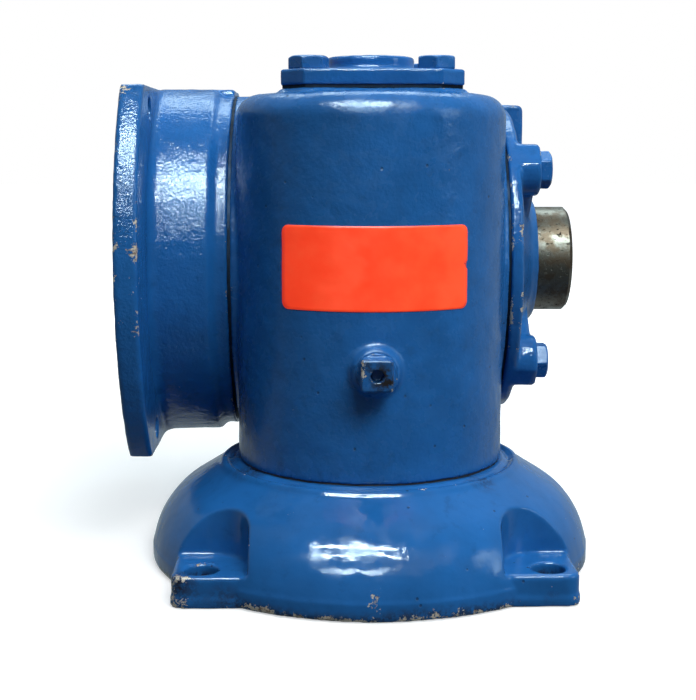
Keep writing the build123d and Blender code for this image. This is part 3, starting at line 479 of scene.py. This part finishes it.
def wrapped_sticker(tower):
    """Sticker pressed on the painted tower, following its unevenness, with a nick in one side."""
    low, high = (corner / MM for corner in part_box("sticker"))
    radius = -low.y
    half_w = radius * math.asin(high.x / radius)
    half_h = (high.z - low.z) / 2
    mid_z = (high.z + low.z) / 2
    outline = [(x - 1.6 * max(0, 1 - abs(y - 0.6) / 1.0), y) if x > half_w - 1 else (x, y)
               for x, y in rounded_outline(half_w, half_h, 3.2)]
    tree = BVHTree.FromPolygons([v.co for v in tower.data.vertices],
                                [p.vertices[:] for p in tower.data.polygons])
    rings = 18
    build = bmesh.new()
    loops = []
    for ring in range(rings + 1):
        share = 1 - ring / rings
        loop = []
        for x, y in outline:
            angle = (x * share + 0.5) / radius
            out = Vector((math.sin(angle), -math.cos(angle), 0))
            start = out * 0.08 + Vector((0, 0, (mid_z + y * share) * MM))
            hit = tree.ray_cast(start, -out)[0]
            skin = math.hypot(hit.x, hit.y) if hit else radius * MM
            loop.append(build.verts.new(out * (skin + 0.07 * MM) + Vector((0, 0, start.z))))
        loops.append(loop)
    for outer, inner in zip(loops, loops[1:]):
        for i in range(len(outer)):
            j = (i + 1) % len(outer)
            build.faces.new((outer[i], outer[j], inner[j], inner[i]))
    bmesh.ops.remove_doubles(build, verts=build.verts, dist=1e-5)
    bmesh.ops.recalc_face_normals(build, faces=build.faces)
    mesh = bpy.data.meshes.new("sticker_wrapped")
    build.to_mesh(mesh)
    build.free()
    obj = new_object("sticker_wrapped", mesh)
    solid = obj.modifiers.new("solid", "SOLIDIFY")
    solid.thickness = 0.16 * MM
    solid.offset = 1
    mesh.materials.append(MATERIALS["sticker"])
    mesh.polygons.foreach_set("use_smooth", np.ones(len(mesh.polygons), bool))
    places = read(mesh, "co")
    write_attribute(mesh, "chip", blobs(places, [(37, -43, 131.5, 4.5, 1.1), (37.5, -43, 146.5, 5.0, 0.8),
                                                  (-28, -50, 147, 4.0, 0.6)]))
    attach(obj, BODY_OF["sticker"])
    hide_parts("sticker")


wrapped_sticker(bpy.data.objects["housing_painted"])

for node, obj in frame["nodes"].items():
    key = SLOT_OF[node]
    if key in ("enamel", "bolt_enamel"):
        key = "cover"
    obj.data.materials.clear()
    obj.data.materials.append(MATERIALS[key])


# ---------------------------------------------------------------- stage, light, camera

def lit_floor(name, colour, rough):
    """Pale floor that glows into white away from the object."""
    g = Graph(name)
    speck = g.noise(40, 2.0, 0.5)
    shade = g.mix(g.step(speck, 0.3, 0.7), tuple(c * 0.985 for c in colour), colour)
    away = g.tree.nodes.new("ShaderNodeVectorMath")
    away.operation = "LENGTH"
    g.put(away.inputs[0], g.coords)
    glow = g.step(away.outputs["Value"], 0.2, 0.9, 0.50, 1.0)
    return g.surface(Base_Color=shade, Roughness=rough, Emission_Color=(1, 1, 1), Emission_Strength=glow)


floor_mesh = bpy.data.meshes.new("floor")
floor_mesh.from_pydata([(-6, -6, 0), (6, -6, 0), (6, 6, 0), (-6, 6, 0)], [], [(0, 1, 2, 3)])
floor_mesh.materials.append(lit_floor("pale_floor", (0.62, 0.62, 0.62), 0.7))
floor = new_object("floor", floor_mesh)
floor.location.z = -0.0004
floor.visible_diffuse = False
floor.visible_glossy = False


AIM = (0.0, 0.0, 0.11)


def softbox(name, place, width, height, power, use="both", colour=(1, 1, 1)):
    """Area light towards the object; use "fill" lights without a reflection, "glint" only reflects."""
    lamp = bpy.data.lights.new(name, "AREA")
    lamp.shape = "RECTANGLE"
    lamp.size, lamp.size_y = width, height
    lamp.energy = power
    lamp.color = colour
    obj = bpy.data.objects.new(name, lamp)
    bpy.context.scene.collection.objects.link(obj)
    obj.location = place
    obj.visible_glossy = use != "fill"
    obj.visible_diffuse = use != "glint"
    obj.rotation_mode = "QUATERNION"
    obj.rotation_quaternion = (Vector(AIM) - Vector(place)).to_track_quat("-Z", "Y")


COOL = (0.70, 0.92, 1.0)
softbox("key", (0.5, -1.0, 1.25), 0.8, 0.6, 19, "fill")
softbox("overhead", (0.1, -0.1, 1.6), 1.0, 0.8, 12, "fill")
softbox("back_wash", (0.0, 0.85, 1.25), 1.2, 0.40, 8, colour=COOL)
softbox("tube_high", (-0.1, -0.60, 1.24), 0.9, 0.06, 22, "glint", COOL)
softbox("tube_mid", (-0.1, -0.80, 1.08), 0.9, 0.05, 18, "glint", COOL)
softbox("tube_low", (-0.15, -1.10, 0.80), 0.7, 0.03, 5.0, "glint", COOL)
softbox("window_right", (1.2, -0.5, 0.6), 0.3, 0.6, 2.4, colour=COOL)


def studio_world():
    """White where the camera sees it; dim and slightly cool in front, brighter behind, as light."""
    world = bpy.data.worlds.new("studio")
    world.use_nodes = True
    tree = world.node_tree
    backdrop = tree.nodes["Background"]
    split = tree.nodes.new("ShaderNodeSeparateXYZ")
    tree.links.new(tree.nodes.new("ShaderNodeTexCoord").outputs["Generated"], split.inputs[0])
    room = tree.nodes.new("ShaderNodeMapRange")
    tree.links.new(split.outputs["Y"], room.inputs["Value"])
    for key, value in (("From Min", -0.3), ("From Max", 0.5), ("To Min", 0.09), ("To Max", 0.42)):
        room.inputs[key].default_value = value
    seen = tree.nodes.new("ShaderNodeLightPath").outputs["Is Camera Ray"]
    strength = tree.nodes.new("ShaderNodeMix")
    tree.links.new(seen, strength.inputs["Factor"])
    tree.links.new(room.outputs["Result"], strength.inputs["A"])
    strength.inputs["B"].default_value = 1.0
    tree.links.new(strength.outputs["Result"], backdrop.inputs["Strength"])
    tint = tree.nodes.new("ShaderNodeMix")
    tint.data_type = "RGBA"
    tree.links.new(seen, tint.inputs["Factor"])
    tint.inputs["A"].default_value = (0.75, 0.92, 1.0, 1)
    tint.inputs["B"].default_value = (1, 1, 1, 1)
    tree.links.new(tint.outputs["Result"], backdrop.inputs["Color"])
    return world


bpy.context.scene.world = studio_world()
bpy.context.scene.view_settings.view_transform = "Standard"
bpy.context.scene.view_settings.look = "None"

CAMERA_AT = (-0.0194, -0.5663, 0.1774)
CAMERA_DOWN = 8.79
CAMERA_RIGHT = 0.99
SENSOR = 36
LENS = SENSOR * 13 / 7
camera_data = bpy.data.cameras.new("camera")
camera = bpy.data.objects.new("camera", camera_data)
bpy.context.scene.collection.objects.link(camera)
camera.location = CAMERA_AT
camera.rotation_euler = (math.radians(90 - CAMERA_DOWN), 0, math.radians(-CAMERA_RIGHT))
camera_data.sensor_width = SENSOR
camera_data.lens = LENS
camera_data.clip_start = 0.01
bpy.context.scene.camera = camera
